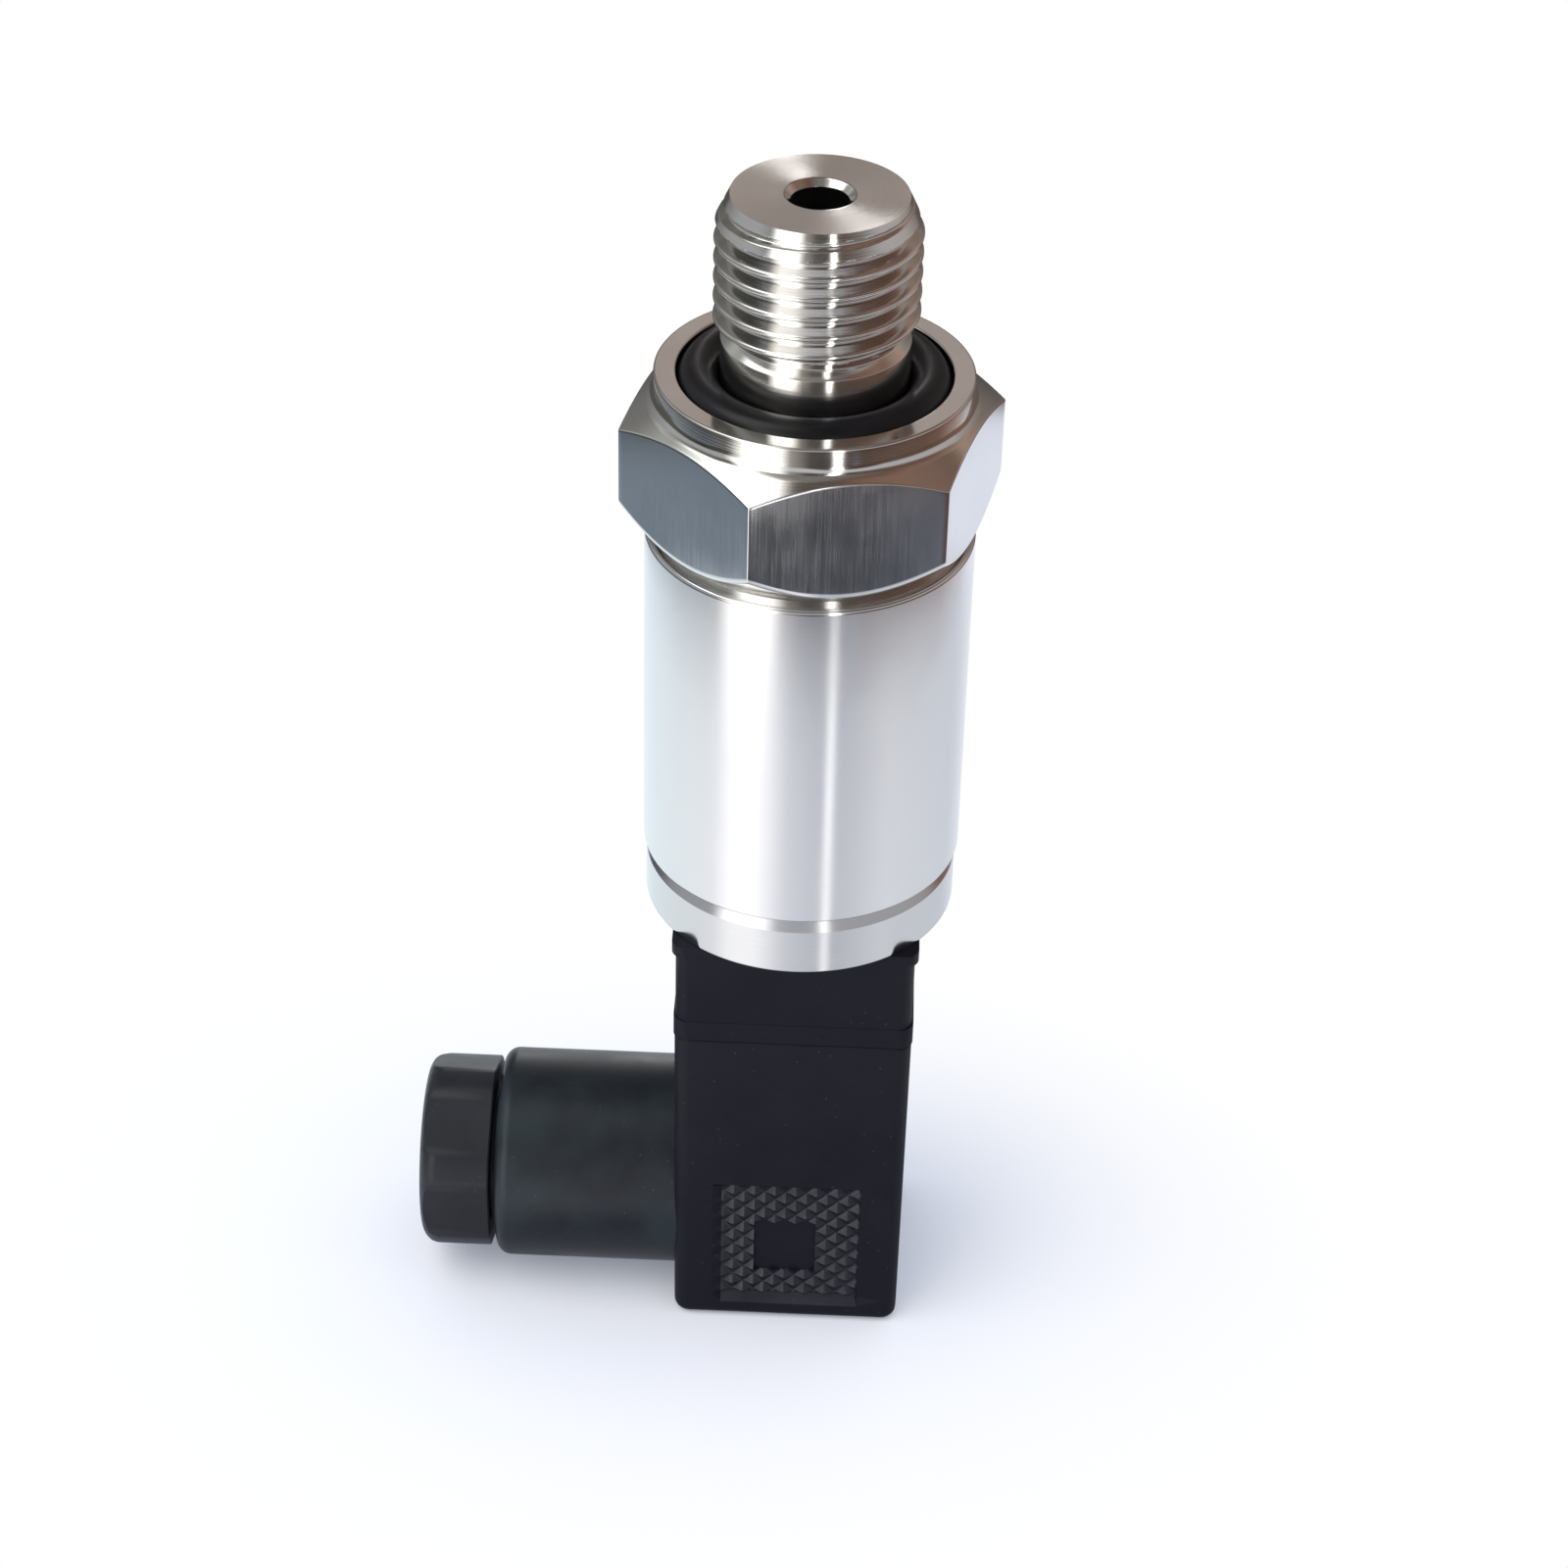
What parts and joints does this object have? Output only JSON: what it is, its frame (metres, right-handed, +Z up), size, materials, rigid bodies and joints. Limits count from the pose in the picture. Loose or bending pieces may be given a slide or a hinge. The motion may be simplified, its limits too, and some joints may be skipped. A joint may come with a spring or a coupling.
{
  "type": "pressure transmitter",
  "caption": "Pressure transmitter with a male pressure thread, spanner hexagon, steel sleeve and a small square plug connector with a cable gland.",
  "frame": {"origin": "on the main axis, in the plug's end face that the part stands on", "axes": "+Z up the main axis towards the pressure thread, -X along the cable gland, -Y to the front"},
  "size_m": [0.0392, 0.0244, 0.0866],
  "materials": {
    "plug_plastic": "moulded glass-filled nylon, semi-matt black",
    "gland_plastic": "moulded nylon, satin black",
    "base_plastic": "moulded glass-filled nylon, semi-matt black",
    "carrier_plastic": "moulded insulator, dark grey",
    "gasket_rubber": "flat nitrile gasket",
    "soft_rubber": "soft nitrile",
    "seal_rubber": "semi-gloss black nitrile",
    "connection_steel": "turned stainless steel",
    "sleeve_steel": "satin stainless tube",
    "ring_steel": "turned stainless steel, bright",
    "capsule_steel": "ground stainless steel",
    "zinc_steel": "zinc-plated steel",
    "contact_brass": "stamped brass",
    "contact_tin": "tinned copper alloy",
    "circuit_board": "green solder resist",
    "component_black": "moulded component bodies",
    "wire_jacket": "extruded wire insulation"
  },
  "bodies": {
    "plug": {"plug_housing": "plug_plastic", "contact_carrier": "carrier_plastic", "terminal_screws": "zinc_steel", "cable_grommet": "soft_rubber", "socket_contact_1": "contact_brass", "socket_contact_2": "contact_brass", "socket_contact_3": "contact_brass", "socket_contact_earth": "contact_brass"},
    "transmitter": {"face_gasket": "gasket_rubber", "connector_base": "base_plastic", "screw_insert": "contact_brass", "end_ring": "ring_steel", "base_o_ring": "seal_rubber", "housing_sleeve": "sleeve_steel", "process_connection": "connection_steel", "seal_ring": "seal_rubber", "sensing_capsule": "capsule_steel", "capsule_o_ring": "seal_rubber", "capsule_retainer": "zinc_steel", "sensor_pins": "contact_tin", "board_spacer": "carrier_plastic", "sensor_board": "circuit_board", "main_board": "circuit_board", "board_components": "component_black", "lead_wires": "wire_jacket", "contact_blade_1": "contact_tin", "contact_blade_2": "contact_tin", "contact_blade_3": "contact_tin", "contact_blade_earth": "contact_tin"},
    "gland_washer": {"gland_washer": "zinc_steel"},
    "gland_nut": {"gland_nut": "gland_plastic"},
    "screw_washer": {"screw_washer": "seal_rubber"},
    "fixing_screw": {"fixing_screw": "zinc_steel"}
  },
  "joints": [
    {"name": "transmitter_lift", "type": "slide", "parent": "plug", "child": "transmitter", "axis": [0, 0, 1], "range_m": [0, 0.012]},
    {"name": "gland_travel", "type": "slide", "parent": "plug", "child": "gland_washer", "axis": [-1, 0, 0], "range_m": [0, 0.006]},
    {"name": "gland_turn", "type": "hinge", "parent": "gland_washer", "child": "gland_nut", "pos_m": [-0.024, 0, 0.0081], "axis": [-1, 0, 0], "range_deg": [0, 1440]},
    {"name": "screw_travel", "type": "slide", "parent": "plug", "child": "screw_washer", "axis": [0, 0, -1], "range_m": [0, 0.0025]},
    {"name": "screw_turn", "type": "hinge", "parent": "screw_washer", "child": "fixing_screw", "pos_m": [0, 0, 0.004], "axis": [0, 0, -1], "range_deg": [0, 1800]}
  ],
  "couplings": [
    {"joint": "gland_turn", "follows": "gland_travel", "rad_per_m": 4188.8},
    {"joint": "screw_turn", "follows": "screw_travel", "rad_per_m": 12566}
  ]
}
